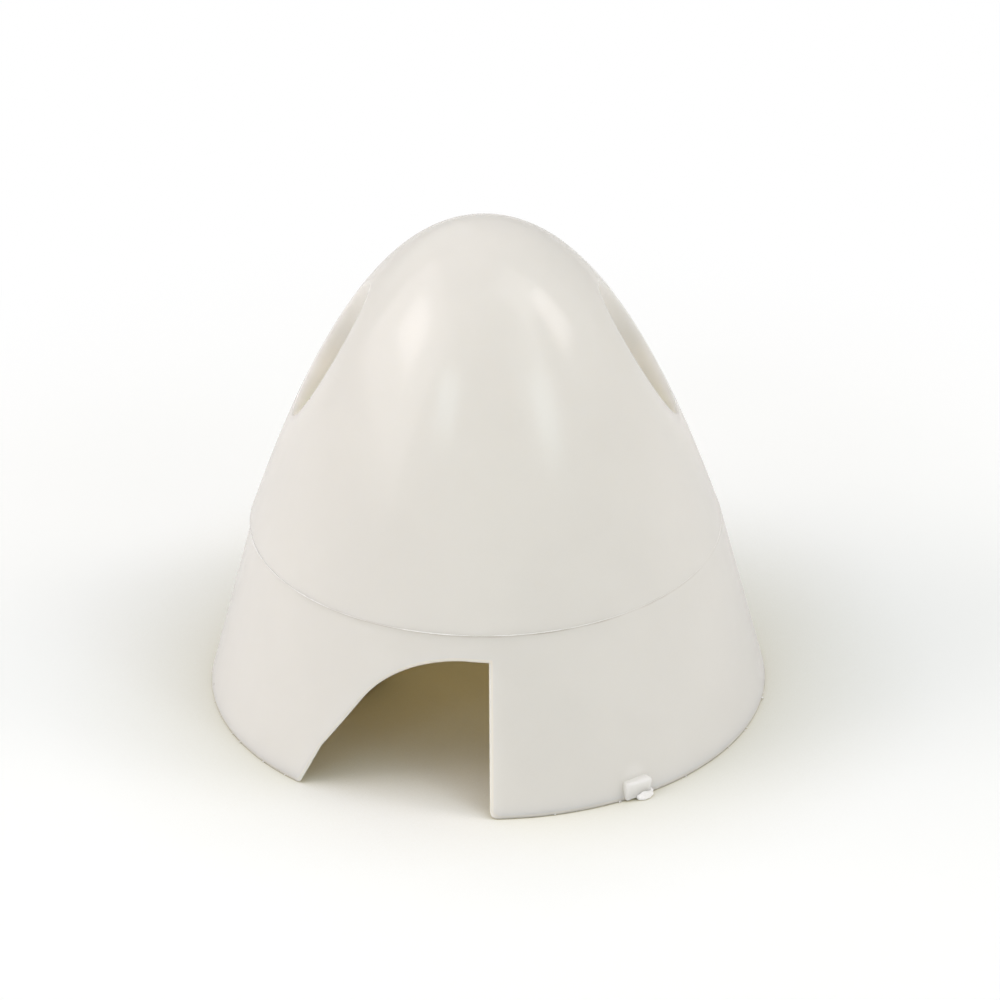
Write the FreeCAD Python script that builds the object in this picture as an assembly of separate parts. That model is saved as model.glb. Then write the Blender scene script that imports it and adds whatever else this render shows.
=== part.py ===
import FreeCAD, Part
import math
import os

# Propeller spinner for a small model aircraft, injection moulded in one piece of white plastic.
# Millimetres, +Z towards the nose. The origin is the centre of the open rim, which is the face it stands on.
# +X and -X carry the two screw wells, and the two blades leave through the cut-outs at -Y and +Y.

# Outside of the shell
rim_radius = 25.0
seam_height = 16.2
dome_foot_radius = 21.0
overall_height = 45.2
dome_power = 2.2

# The nose was moulded in the other half of the mould: it stands proud of the skirt by a small step,
# and it sits a little to one side
seam_step = 0.12
mould_shift = 0.15

# Thickness of the plastic
wall = 1.4
nose_wall = 2.0

# Screw wells in the shoulders, and the tubes that carry them down to the backplate
screw_spacing = 27.0
well_radius = 3.5
tube_wall = 1.2
tube_floor = 1.6
tube_end_height = 2.0
screw_hole_radius = 1.6
web_thickness = 1.2

# Blade cut-out, seen from the front: an upright edge near the centre line, a crown, an arch and a straight
# flank that turns a little steeper near the rim
cutout_edge_x = 0.1
crown_offset = 2.0
crown_height = 14.05
crown_fall = 0.2
arch_radius = 10.9
flank_angle = 55.0
kink_height = 4.0
foot_angle = 63.5
edge_foot_radius = 0.7
flank_foot_radius = 0.5

# Stub left where the moulding gate was cut off at the rim
gate_azimuth = -58.8
gate_width = 2.8
gate_height = 1.8
gate_proud = 0.5
gate_edge_radius = 0.25

# Where the dome's half profile passes from one span to the next, as shares of its foot radius. The first spans
# are straight tapers, more of them on the core of the mould than outside, and tangent arcs follow
dome_shares = (1, 0.8, 0.4, 0)
core_shares = (1, 0.82, 0.55, 0.25, 0)
dome_tapers = 1
core_tapers = 3

# How far a cutting shape passes beyond what it cuts
overrun = 1.0

Vector = FreeCAD.Vector
axis_up = Vector(0, 0, 1)


def straight(start, end):
    return Part.makeLine(start, end)


def arc(start, middle, end):
    return Part.Arc(start, middle, end).toShape()


def meeting_point(start, start_way, end, end_way):
    """Point where two arcs meet, tangent to each other, the one leaving the start and the other reaching the end."""
    chord = end - start
    ways = start_way + end_way
    spread = 2 - 2 * start_way.dot(end_way)
    along = chord.dot(ways)
    reach = (math.sqrt(along ** 2 + spread * chord.dot(chord)) - along) / spread
    return (start + start_way * reach + end - end_way * reach) * 0.5


def arc_leaving(start, way, end):
    """Arc in the XZ plane that leaves the start in a given direction and ends at a given point."""
    chord = end - start
    half_turned = math.atan2(way.x * chord.z - way.z * chord.x, way.dot(chord))
    across = Vector(chord.z, 0, -chord.x) * (math.tan(half_turned / 2) / 2)
    return arc(start, (start + end) * 0.5 + across, end)


def mirrored_way(way, chord):
    """Direction in which an arc that left along one way reaches the end of its chord."""
    along = Vector(chord).normalize()
    return along * (2 * along.dot(way)) - way


def dome_edges(foot_radius, foot_height, top_height, shares, tapers):
    """Half profile of a dome, from its foot to its tip, whose height falls with a power of the radius."""
    rise = top_height - foot_height
    points = []
    ways = []
    for share in shares:
        points.append(Vector(foot_radius * share, 0, foot_height + rise * (1 - share ** dome_power)))
        steepness = dome_power * rise * share ** (dome_power - 1)
        ways.append(Vector(-foot_radius, 0, steepness).normalize())
    edges = []
    for index in range(tapers):
        edges.append(straight(points[index], points[index + 1]))
        ways[index + 1] = (points[index + 1] - points[index]).normalize()
    for index in range(tapers, len(shares) - 1):
        start, start_way = points[index], ways[index]
        end, end_way = points[index + 1], ways[index + 1]
        meeting = meeting_point(start, start_way, end, end_way)
        edges.append(arc_leaving(start, start_way, meeting))
        edges.append(arc_leaving(meeting, mirrored_way(start_way, meeting - start), end))
    return edges


def turned(edges):
    """Solid turned about the spinner's axis from the edges of a closed half profile."""
    face = Part.Face(Part.Wire(edges))
    return face.revolve(Vector(0, 0, 0), axis_up, 360)


def slant(run, rise):
    """How much wider a wall measures across the axis than square to its own slope."""
    return math.hypot(run, rise) / rise


def skirt_solid():
    """Straight tapered skirt below the mould seam, filled."""
    return Part.makeCone(rim_radius, dome_foot_radius - seam_step, seam_height)


def nose_solid():
    """Nose dome above the mould seam, filled, and off to one side by the shift of the mould."""
    foot_centre = Vector(0, 0, seam_height)
    foot = Vector(dome_foot_radius, 0, seam_height)
    tip = Vector(0, 0, overall_height)
    curve = dome_edges(dome_foot_radius, seam_height, overall_height, dome_shares, dome_tapers)
    nose = turned([straight(foot_centre, foot)] + curve + [straight(tip, foot_centre)])
    nose.translate(Vector(-mould_shift, 0, 0))
    return nose


def room_inside(skirt_wall, tip_wall):
    """Solid that lies inside the outer surface by a given thickness, and by another at the tip."""
    rise = overall_height - seam_height
    seam_radius = dome_foot_radius - skirt_wall * slant(dome_foot_radius, dome_power * rise)
    mouth_radius = rim_radius - skirt_wall * slant(rim_radius - dome_foot_radius, seam_height)
    flare = (mouth_radius - seam_radius) / seam_height
    top_height = overall_height - tip_wall
    below = Vector(0, 0, -overrun)
    mouth = Vector(mouth_radius + flare * overrun, 0, -overrun)
    seam = Vector(seam_radius, 0, seam_height)
    tip = Vector(0, 0, top_height)
    curve = dome_edges(seam_radius, seam_height, top_height, core_shares, core_tapers)
    return turned([straight(below, mouth), straight(mouth, seam)] + curve + [straight(tip, below)])


def cavity_solid():
    """Room inside the shell, left by the core of the mould."""
    return room_inside(wall, nose_wall)


def middle_of_wall():
    """Everything inside the middle of the shell's wall, where the tubes and webs end."""
    return room_inside(wall / 2, nose_wall / 2)


def screw_places():
    return [-screw_spacing / 2, screw_spacing / 2]


def tube_solid(place_x):
    """Tube that carries one screw well, with the web that ties it to the skirt."""
    length = overall_height - tube_end_height
    base = Vector(place_x, 0, tube_end_height)
    tube = Part.makeCylinder(well_radius + tube_wall, length, base, axis_up)
    web = Part.makeBox(rim_radius - abs(place_x), web_thickness, seam_height - tube_end_height)
    web_start = place_x if place_x > 0 else -rim_radius
    web.translate(Vector(web_start, -web_thickness / 2, tube_end_height))
    return tube.fuse(web)


def well_solid(place_x):
    """Room of one screw well, cut from the nose side of the mould."""
    floor_height = tube_end_height + tube_floor
    base = Vector(place_x - mould_shift, 0, floor_height)
    return Part.makeCylinder(well_radius, overall_height, base, axis_up)


def screw_hole_solid(place_x):
    base = Vector(place_x, 0, tube_end_height - overrun)
    return Part.makeCylinder(screw_hole_radius, tube_floor + 2 * overrun, base, axis_up)


def foot_rounding(foot_x, inner_angle, outward, radius):
    """Small round where a cut-out meets the rim: its points on the rim, in its middle and on the cut-out's edge."""
    angle = math.radians(inner_angle)
    run = radius / math.tan(angle / 2)
    corner = Vector(foot_x, 0, 0)
    on_rim = Vector(foot_x + outward * run, 0, 0)
    centre = Vector(foot_x + outward * run, 0, radius)
    on_edge = corner + Vector(outward * math.cos(angle), 0, math.sin(angle)) * run
    middle = centre + (corner - centre).normalize() * radius
    return on_rim, middle, on_edge


def cutout_solid():
    """Room of the front blade cut-out, a straight pull along Y through the skirt."""
    sweep = math.radians(flank_angle)
    steep = math.radians(foot_angle)
    crown_x = cutout_edge_x - crown_offset
    arch_centre = Vector(crown_x, 0, crown_height - arch_radius)

    def on_arch(angle):
        return arch_centre + Vector(-math.sin(angle), 0, math.cos(angle)) * arch_radius

    shoulder = on_arch(sweep)
    crown = on_arch(0)
    edge_top = Vector(cutout_edge_x, 0, crown_height - crown_fall)
    kink = Vector(shoulder.x - (shoulder.z - kink_height) / math.tan(sweep), 0, kink_height)
    flank_foot_x = kink.x - kink_height / math.tan(steep)
    left_rim, left_middle, left_edge = foot_rounding(flank_foot_x, 180 - foot_angle, -1, flank_foot_radius)
    right_rim, right_middle, right_edge = foot_rounding(cutout_edge_x, 90, 1, edge_foot_radius)
    below = Vector(0, 0, -overrun)
    outline = Part.Wire([
        straight(right_rim + below, right_rim),
        arc(right_rim, right_middle, right_edge),
        straight(right_edge, edge_top),
        straight(edge_top, crown),
        arc(crown, on_arch(sweep / 2), shoulder),
        straight(shoulder, kink),
        straight(kink, left_edge),
        arc(left_edge, left_middle, left_rim),
        straight(left_rim, left_rim + below),
        straight(left_rim + below, right_rim + below),
    ])
    return Part.Face(outline).extrude(Vector(0, -rim_radius - overrun, 0))


def gate_stub():
    """Stub of the moulding gate, standing on the rim plane and rooted in the skirt's wall."""
    root_radius = rim_radius - wall / 2
    depth = wall / 2 + gate_proud
    stub = Part.makeBox(depth, gate_width, gate_height, Vector(root_radius, -gate_width / 2, 0))
    outer_x = root_radius + depth
    rounded = []
    for edge in stub.Edges:
        middle = edge.CenterOfMass
        if abs(middle.x - outer_x) < 1e-6 and middle.z > 1e-6:
            rounded.append(edge)
    stub = stub.makeFillet(gate_edge_radius, rounded)
    stub.rotate(Vector(0, 0, 0), axis_up, gate_azimuth)
    return stub


def half_turn(shape):
    turned_shape = shape.copy()
    turned_shape.rotate(Vector(0, 0, 0), axis_up, 180)
    return turned_shape


def spinner_cone():
    outside = skirt_solid().fuse(nose_solid())
    front = cutout_solid()
    shell = outside.cut([cavity_solid(), front, half_turn(front)])
    inside = middle_of_wall()
    tubes = [tube_solid(place).common(inside) for place in screw_places()]
    shell = shell.fuse(tubes + [gate_stub()])
    wells = [well_solid(place) for place in screw_places()]
    holes = [screw_hole_solid(place) for place in screw_places()]
    return shell.cut(wells + holes).removeSplitter()


def main():
    os.makedirs("parts", exist_ok=True)
    shell = spinner_cone()
    print("solids", len(shell.Solids), "valid", shell.isValid(), "volume", round(shell.Volume, 1))
    shell.exportStep("parts/spinner_cone.step")


main()
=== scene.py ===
"""Builds the moulded skin of a white plastic propeller spinner, its finish, and the stage it stands on."""

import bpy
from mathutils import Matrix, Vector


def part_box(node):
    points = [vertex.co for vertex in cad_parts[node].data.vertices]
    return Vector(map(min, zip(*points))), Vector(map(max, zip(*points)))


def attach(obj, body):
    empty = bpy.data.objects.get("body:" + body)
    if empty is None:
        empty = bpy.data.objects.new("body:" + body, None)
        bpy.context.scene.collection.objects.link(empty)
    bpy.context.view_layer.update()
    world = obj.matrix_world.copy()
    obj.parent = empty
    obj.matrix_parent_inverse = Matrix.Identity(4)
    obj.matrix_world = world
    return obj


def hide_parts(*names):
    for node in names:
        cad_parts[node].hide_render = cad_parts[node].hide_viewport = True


bl_info = {
    "name": "Propeller Spinner",
    "version": (1, 0, 0),
    "blender": (4, 5, 0),
    "location": "View3D > Sidebar > Spinner",
    "description": "Builds a white moulded propeller spinner and the pale stage it stands on",
    "category": "Object",
}

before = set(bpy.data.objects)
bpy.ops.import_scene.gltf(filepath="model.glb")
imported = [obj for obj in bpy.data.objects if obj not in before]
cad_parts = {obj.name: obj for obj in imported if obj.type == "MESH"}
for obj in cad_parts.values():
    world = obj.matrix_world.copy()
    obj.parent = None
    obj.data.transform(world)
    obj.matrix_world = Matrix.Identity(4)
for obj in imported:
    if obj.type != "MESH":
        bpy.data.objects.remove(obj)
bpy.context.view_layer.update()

import math
import random

import bmesh
import bpy
import numpy as np
from mathutils import Matrix, Vector, kdtree, noise
from mathutils.geometry import delaunay_2d_cdt

LOW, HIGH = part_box("spinner_cone")
MILLIMETRE = 0.001

# How finely the shell is divided: columns all round at the seam, columns of the front rim on each side of its
# cut-out, and points round a screw well
SEAM_COLUMNS = 240
RIM_COLUMNS_RIGHT = 60
RIM_COLUMNS_LEFT = 32
WELL_COLUMNS = 72

# Spacing of the points on the shell's surfaces
OUTER_SKIRT_SPACING = 0.7 * MILLIMETRE
OUTER_DOME_SPACING = 0.62 * MILLIMETRE
INNER_SPACING = 1.2 * MILLIMETRE

# How far such points keep from an outline, in millimetres
CLEARANCE = 0.3
OUTER_DOME_CLEARANCE = 0.25

# Corner angle above which two faces meet in a sharp edge
SHARP_ANGLE = math.radians(42)

# Point that the lamps shine at
LIT_POINT = Vector((0, 0, 20 * MILLIMETRE))

# Names of the attributes that hold how far a point lies behind the outer skin and from the nearest edge, in
# millimetres, and a burr's size
DEPTH = "depth"
EDGE_DISTANCE = "edge_distance"
BURR_SIZE = "burr_size"

# Dark specks: azimuth from the front towards the right in degrees, then distance from the axis, height and
# radius in millimetres
SPECKS = ((-78.6, 15.8, 30.0, 0.16), (39.8, 21.05, 16.3, 0.14), (-83.7, 24.8, 0.72, 0.16))

# Larger burrs on the rim: azimuth in degrees and size in millimetres
LARGE_BURRS = ((79.3, 0.17), (13.4, 0.13), (27.3, 0.1), (-62.0, 0.11))


def length(name, description, default):
    """A size in metres, given here in millimetres."""
    return bpy.props.FloatProperty(name=name, description=description, default=default * MILLIMETRE,
                                   unit="LENGTH", precision=5)


def angle(name, description, default):
    """An angle, given here in degrees."""
    return bpy.props.FloatProperty(name=name, description=description, default=math.radians(default),
                                   subtype="ANGLE")


def number(name, description, default):
    return bpy.props.FloatProperty(name=name, description=description, default=default)


def share(name, description, default):
    return bpy.props.FloatProperty(name=name, description=description, default=default, min=0, max=1,
                                   subtype="FACTOR")


def colour(name, description, default):
    return bpy.props.FloatVectorProperty(name=name, description=description, default=default, size=3,
                                         min=0, max=1, subtype="COLOR")


class SpinnerSizes(bpy.types.PropertyGroup):
    """Sizes of the moulding."""

    rim_radius: length("Rim radius", "Outer radius of the open rim", (HIGH.x - LOW.x) / 2 / MILLIMETRE)
    overall_height: length("Height", "From the rim to the tip of the nose", HIGH.z / MILLIMETRE)
    seam_height: length("Seam height", "Height of the mould seam between skirt and nose", 16.2)
    dome_foot_radius: length("Nose radius", "Outer radius of the nose at the seam", 21.0)
    dome_power: number("Nose power", "Power of the radius by which the nose falls away", 2.2)
    seam_step: length("Seam step", "How far the nose stands proud of the skirt", 0.12)
    mould_shift: length("Mould shift", "How far the nose sits to one side of the skirt", 0.15)
    seam_round: length("Seam rounding", "Half the height of the rounded step at the seam", 0.18)
    wall: length("Wall", "Thickness of the plastic", 1.4)
    nose_wall: length("Nose wall", "Thickness of the plastic at the tip", 2.0)
    edge_round: length("Edge rounding", "Radius of the moulded edges", 0.22)
    screw_spacing: length("Screw spacing", "Distance between the two screw holes", 27.0)
    well_radius: length("Well radius", "Inner radius of a screw well", 3.5)
    tube_wall: length("Tube wall", "Thickness of the tube round a screw well", 1.2)
    tube_floor: length("Tube floor", "Thickness of the floor of a screw well", 1.6)
    tube_end_height: length("Tube end height", "Height of the tubes' lower ends above the rim", 2.0)
    screw_hole_radius: length("Screw hole radius", "Radius of the hole in a well's floor", 1.6)
    web_thickness: length("Web thickness", "Thickness of the web between tube and skirt", 1.2)
    cutout_edge_x: length("Upright edge", "Place of the cut-out's upright edge", 0.1)
    crown_offset: length("Crown offset", "Distance from the upright edge to the crown", 2.15)
    crown_height: length("Crown height", "Height of the cut-out", 13.82)
    crown_fall: length("Crown fall", "Drop from the crown to the upright edge", 0.12)
    arch_radius: length("Arch radius", "Radius of the cut-out's arch", 10.9)
    flank_angle: angle("Flank angle", "Slope of the cut-out's straight flank", 55.0)
    kink_height: length("Kink height", "Height at which the flank turns steeper", 4.0)
    foot_angle: angle("Foot angle", "Slope of the flank near the rim", 63.5)
    edge_foot_radius: length("Edge foot radius", "Rounding of the upright edge at the rim", 0.7)
    flank_foot_radius: length("Flank foot radius", "Rounding of the flank at the rim", 0.5)
    gate_azimuth: angle("Gate azimuth", "Direction of the gate, from the front towards the right", 31.4)
    gate_width: length("Gate width", "Width of the cut moulding gate", 2.6)
    gate_height: length("Gate height", "Height of the cut moulding gate", 1.8)
    gate_proud: length("Gate proud", "How far the gate stands out of the rim", 0.34)
    gate_round: length("Gate rounding", "Rounding of the gate's cut edges", 0.3)
    gate_notch: length("Gate notch", "How far the gate's lower edge is torn away", 0.12)
    sliver_width: length("Sliver width", "Width of the torn flake at the gate's foot", 2.0)
    sliver_reach: length("Sliver reach", "Length of the torn flake, outwards", 1.1)
    sliver_thickness: length("Sliver thickness", "Thickness of the torn flake", 0.75)
    sliver_aside: length("Sliver aside", "How far the flake lies to the right of the gate's middle", 0.6)
    flash_thickness: length("Flash thickness", "Largest radius of the ridge along the mould seam", 0.055)
    flash_azimuth: angle("Flash azimuth", "Direction in which that ridge is largest", -40.0)
    burr_count: bpy.props.IntProperty(name="Burrs", description="Number of small burrs on the rim",
                                      default=90)


class SpinnerFinish(bpy.types.PropertyGroup):
    """Colours and finish of the plastic."""

    plastic: colour("Plastic", "Body colour of the white plastic", (0.79, 0.775, 0.728))
    # Painted light: the plastic inside the shell takes a warmer colour that stands in for the light coming in
    # through its wall
    inside_painted_light: colour("Plastic inside", "Colour of the plastic inside the shell, lit through its wall",
                           (0.9, 0.76, 0.5))
    # Painted light: the screw wells are painted paler than the body, and paler still towards their lower lip,
    # lifting the shade deep in them
    well_painted_light: colour("Plastic in the wells", "Colour of the plastic half way down a well's mouth",
                         (0.93, 0.9, 0.83))
    well_low_painted_light: colour("Plastic low in the wells", "Colour of the plastic at a well's lower lip",
                             (0.95, 0.93, 0.82))
    # Painted light: a paler colour along the rim and the cut-outs, standing in for the glow and highlight of
    # these thin rounded edges
    painted_edge_light: colour("Plastic at the edges", "Colour of the plastic along the rim and the cut-outs",
                         (0.88, 0.82, 0.68))
    painted_edge_light_strength: share("Edge pallor", "How far the edges take that colour", 0.6)
    edge_width: length("Edge width", "How far from an edge that colour reaches", 0.18)
    cloudiness: share("Cloudiness", "How much darker the cloudy patches of the body are", 0.02)
    blush: share("Gate blush", "How far the plastic round the gate takes the torn colour", 0.22)
    blush_reach: length("Gate blush reach", "Distance from the gate at which its pale plastic ends", 1.7)
    waviness: length("Waviness", "Height of the slow waves in the moulded surface", 0.015)
    grain: length("Grain", "Height of the fine grain in the moulded surface", 0.0008)
    plastic_torn: colour("Torn plastic", "Colour of torn and stretched plastic", (0.98, 0.97, 0.95))
    # One colour serves for the specks of grime and for the painted shade under the seam and along the rim
    dirt_and_shade: colour("Dirt", "Colour of the dirt along the seam and in the specks", (0.3, 0.22, 0.14))
    # Painted shade: a thin dark band under the seam's step, strongest towards the thick side of the seam
    # ridge
    seam_painted_shade: share("Dirt on the seam", "Strength of the dirt where it is thickest under the seam", 0.34)
    # Painted shade: a thin dark band at the foot of the rim, where it meets the floor
    rim_painted_shade: share("Dirt on the rim", "Strength of the dirt where it is thickest along the rim", 0.3)
    speck_dirt: share("Dirt in a speck", "Strength of a dark speck", 0.8)
    roughness: share("Roughness", "Roughness of the moulded surface", 0.175)
    glow: share("Glow", "How much light wanders inside the plastic", 1.0)
    glow_depth: length("Glow depth", "How far light wanders inside the plastic", 1.8)


class SpinnerStage(bpy.types.PropertyGroup):
    """Camera, floor and lights."""

    camera_tilt: angle("Camera tilt", "How far the camera looks down", 29.04)
    camera_roll: angle("Camera roll", "Turn of the camera about its own axis", 0.336)
    camera_distance: length("Camera distance", "From the camera to the point it aims at", 591.3)
    aim_x: length("Aim sideways", "Point that the camera aims at, sideways", 1.14)
    aim_height: length("Aim height", "Point that the camera aims at, above the floor", 17.97)
    focal_length: number("Focal length", "Focal length of the lens in millimetres", 239.2)
    floor_width: length("Floor width", "Side of the square floor", 3000.0)
    floor_gap: length("Floor gap", "How far the floor lies below the rim", 0.02)
    floor_colour: colour("Floor", "Colour of the pale floor as it lights the object", (0.8, 0.8, 0.78))
    floor_seen: colour("Floor in view", "Colour of the pale floor as the camera sees it", (0.98, 1.0, 0.985))
    backdrop_start: length("Backdrop start", "Distance from the axis where the floor starts to whiten", 50.0)
    backdrop_end: length("Backdrop end", "Distance from the axis beyond which it is the white backdrop", 90.0)
    contact_reach: length("Contact shade reach", "How far the shade reaches where rim and floor meet", 18.0)
    contact_colour: colour("Contact shade", "Colour of the floor in that shade", (0.56, 0.51, 0.31))
    glow_radius: length("Inner light radius", "Radius of the light inside the shell", 7.0)
    glow_height: length("Inner light height", "Height of the light inside the shell", 27.0)
    glow_level: number("Inner light level", "Brightness of the light inside the shell", 0.50)
    glow_colour: colour("Inner light", "Colour of the light that comes in through the plastic",
                        (1.0, 0.86, 0.33))
    well_glow_radius: length("Well light radius", "Radius of the light in each screw well", 2.5)
    well_glow_height: length("Well light height", "Height of the light in each screw well", 18.0)
    left_well_glow: number("Left well light level", "Brightness of the light in the left well", 0.95)
    right_well_glow: number("Right well light level", "Brightness of the light in the right well", 1.05)
    well_glow_colour: colour("Well light", "Colour of the light that comes into the wells", (0.92, 0.81, 1.0))
    sky_colour: colour("Surroundings", "Colour of the room around the stage", (1.0, 1.0, 0.99))
    sky_level: number("Surroundings level", "Brightness of the room around the stage", 0.48)


class Skin:
    """One side of the shell: a tapered skirt with a dome on it."""

    def __init__(self, sizes, thickness, tip_thickness, step, shift):
        rise = sizes.overall_height - sizes.seam_height
        skirt_slant = slant(sizes.rim_radius - sizes.dome_foot_radius, sizes.seam_height)
        dome_slant = slant(sizes.dome_foot_radius, sizes.dome_power * rise)
        self.rim_radius = sizes.rim_radius - thickness * skirt_slant
        self.foot_radius = sizes.dome_foot_radius - thickness * dome_slant
        self.seam_radius = self.foot_radius - step
        self.seam_height = sizes.seam_height
        self.rise = rise - tip_thickness
        self.power = sizes.dome_power
        self.shift = shift
        radii = np.linspace(0, self.foot_radius, 600)
        heights = self.dome_height(radii)
        steps = np.hypot(np.diff(radii), np.diff(heights))
        self.radii = radii
        self.paths = np.concatenate(([0], np.cumsum(steps)))

    def skirt_radius(self, height):
        return self.rim_radius + (self.seam_radius - self.rim_radius) * height / self.seam_height

    def skirt_point(self, azimuth, height):
        """Point of the skirt at an azimuth from the front towards the right."""
        radius = self.skirt_radius(height)
        return Vector((radius * math.sin(azimuth), -radius * math.cos(azimuth), height))

    def front_point(self, x, height):
        """Point of the skirt's front that lies at a given place sideways."""
        return Vector((x, -math.sqrt(self.skirt_radius(height) ** 2 - x ** 2), height))

    def dome_height(self, radius):
        return self.seam_height + self.rise * (1 - (radius / self.foot_radius) ** self.power)

    def dome_slope(self, radius):
        return self.power * self.rise / self.foot_radius * (radius / self.foot_radius) ** (self.power - 1)

    def dome_radius(self, height):
        return self.foot_radius * (1 - (height - self.seam_height) / self.rise) ** (1 / self.power)

    def dome_point(self, x, y):
        """Point of the dome over a place given from the dome's own axis."""
        return Vector((x + self.shift, y, self.dome_height(math.hypot(x, y))))


def slant(run, rise):
    """How much wider a wall measures across the axis than square to its own slope."""
    return math.hypot(run, rise) / rise


def outer_skin(sizes):
    return Skin(sizes, 0, 0, sizes.seam_step, -sizes.mould_shift)


def inner_skin(sizes):
    return Skin(sizes, sizes.wall, sizes.nose_wall, 0, 0)


def straight_run(start, end, spacing):
    """Evenly spaced points from the start up to, but not on, the end."""
    count = max(1, round((end - start).length / spacing))
    return [start.lerp(end, index / count) for index in range(count)]


def round_run(centre, radius, start, end, count):
    """Points on an arc from the start angle up to, but not on, the end angle."""
    points = []
    for index in range(count):
        turn = start + (end - start) * index / count
        points.append(centre + Vector((math.cos(turn), math.sin(turn))) * radius)
    return points


def cutout_outline(sizes, spacing=0.35 * MILLIMETRE):
    """Outline of the front blade cut-out as seen from the front, from its right foot to its left foot."""
    crown = Vector((sizes.cutout_edge_x - sizes.crown_offset, sizes.crown_height))
    arch_centre = crown - Vector((0, sizes.arch_radius))
    edge_top = Vector((sizes.cutout_edge_x, sizes.crown_height - sizes.crown_fall))
    shoulder_way = Vector((-math.sin(sizes.flank_angle), math.cos(sizes.flank_angle)))
    shoulder = arch_centre + shoulder_way * sizes.arch_radius
    kink_run = (shoulder.y - sizes.kink_height) / math.tan(sizes.flank_angle)
    kink = Vector((shoulder.x - kink_run, sizes.kink_height))
    corner = Vector((kink.x - sizes.kink_height / math.tan(sizes.foot_angle), 0))
    flank_round = sizes.flank_foot_radius
    run = flank_round / math.tan((math.pi - sizes.foot_angle) / 2)
    flank_end = corner + Vector((math.cos(sizes.foot_angle), math.sin(sizes.foot_angle))) * run
    edge_round = sizes.edge_foot_radius
    edge_centre = Vector((sizes.cutout_edge_x + edge_round, edge_round))
    edge_end = Vector((sizes.cutout_edge_x, edge_round))
    points = round_run(edge_centre, edge_round, -math.pi / 2, -math.pi, 8)
    points += straight_run(edge_end, edge_top, spacing)
    points += straight_run(edge_top, crown, spacing)
    points += round_run(arch_centre, sizes.arch_radius, math.pi / 2, math.pi / 2 + sizes.flank_angle, 32)
    points += straight_run(shoulder, kink, spacing)
    points += straight_run(kink, flank_end, spacing)
    points += round_run(corner + Vector((-run, flank_round)), flank_round, sizes.foot_angle - math.pi / 2,
                        -math.pi / 2, 6)
    points.append(corner + Vector((-run, 0)))
    return points


def moved_aside(points, distance):
    """The outline moved into the plastic by a distance, with its corners mitred."""
    moved = []
    for index, point in enumerate(points):
        before = points[max(index - 1, 0)]
        after = points[min(index + 1, len(points) - 1)]
        sides = []
        for way in (point - before, after - point):
            if way.length > 0:
                sides.append(Vector((way.y, -way.x)).normalized())
        if index == 0:
            sides = [Vector((0, 1))]
        if index == len(points) - 1:
            sides = [Vector((0, 1))]
        middle = (sides[0] + sides[-1]).normalized()
        moved.append(point + middle * (distance / middle.dot(sides[0])))
    return moved


def rounded_rows(first, corner, last, steps=4):
    """Rows of points that round a corner, between a row on one face and a row on the other."""
    rows = []
    for step in range(steps + 1):
        t = step / steps
        row = []
        for a, b, c in zip(first, corner, last):
            row.append(a * (1 - t) ** 2 + b * (2 * t * (1 - t)) + c * t ** 2)
        rows.append(row)
    return rows


def skirt_edge_rows(sizes, outer, inner):
    """Rows of points round the lower edge of the skirt's front half, from the outer to the inner skin."""
    small = sizes.edge_round
    outline = cutout_outline(sizes)
    aside = moved_aside(outline, small)
    sides = {}
    for skin, inward in ((outer, 1), (inner, -1)):
        on_skin, corner, on_cut = [], [], []
        right_end = math.asin(outline[0].x / skin.rim_radius)
        left_end = math.asin(outline[-1].x / skin.rim_radius)
        right = [math.pi / 2 + (right_end - math.pi / 2) * index / RIM_COLUMNS_RIGHT
                 for index in range(RIM_COLUMNS_RIGHT)]
        left = [left_end + (-math.pi / 2 - left_end) * index / RIM_COLUMNS_LEFT
                for index in range(1, RIM_COLUMNS_LEFT + 1)]
        rim = skin.rim_radius
        for azimuth in right:
            on_skin.append(skin.skirt_point(azimuth, small))
            corner.append(skin.skirt_point(azimuth, 0))
            on_cut.append(corner[-1] * ((rim - inward * small) / rim))
        for place, beside in zip(outline, aside):
            on_skin.append(skin.front_point(beside.x, beside.y))
            corner.append(skin.front_point(place.x, place.y))
            on_cut.append(corner[-1] + Vector((0, inward * small, 0)))
        for azimuth in left:
            on_skin.append(skin.skirt_point(azimuth, small))
            corner.append(skin.skirt_point(azimuth, 0))
            on_cut.append(corner[-1] * ((rim - inward * small) / rim))
        sides[inward] = (on_skin, corner, on_cut)
    rows = rounded_rows(*sides[1])
    rows += reversed(rounded_rows(*sides[-1]))
    return rows


def inside_outline(outline, points):
    """Which of the points lie inside a closed outline."""
    outline = np.asarray(outline, float)
    points = np.asarray(points, float)
    x0, y0 = outline[:, 0], outline[:, 1]
    x1, y1 = np.roll(x0, -1), np.roll(y0, -1)
    inside = np.zeros(len(points), bool)
    for index, (x, y) in enumerate(points):
        crosses = (y0 > y) != (y1 > y)
        reach = x0[crosses] + (y - y0[crosses]) * (x1 - x0)[crosses] / (y1 - y0)[crosses]
        inside[index] = np.count_nonzero(reach > x) % 2 == 1
    return inside


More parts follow.
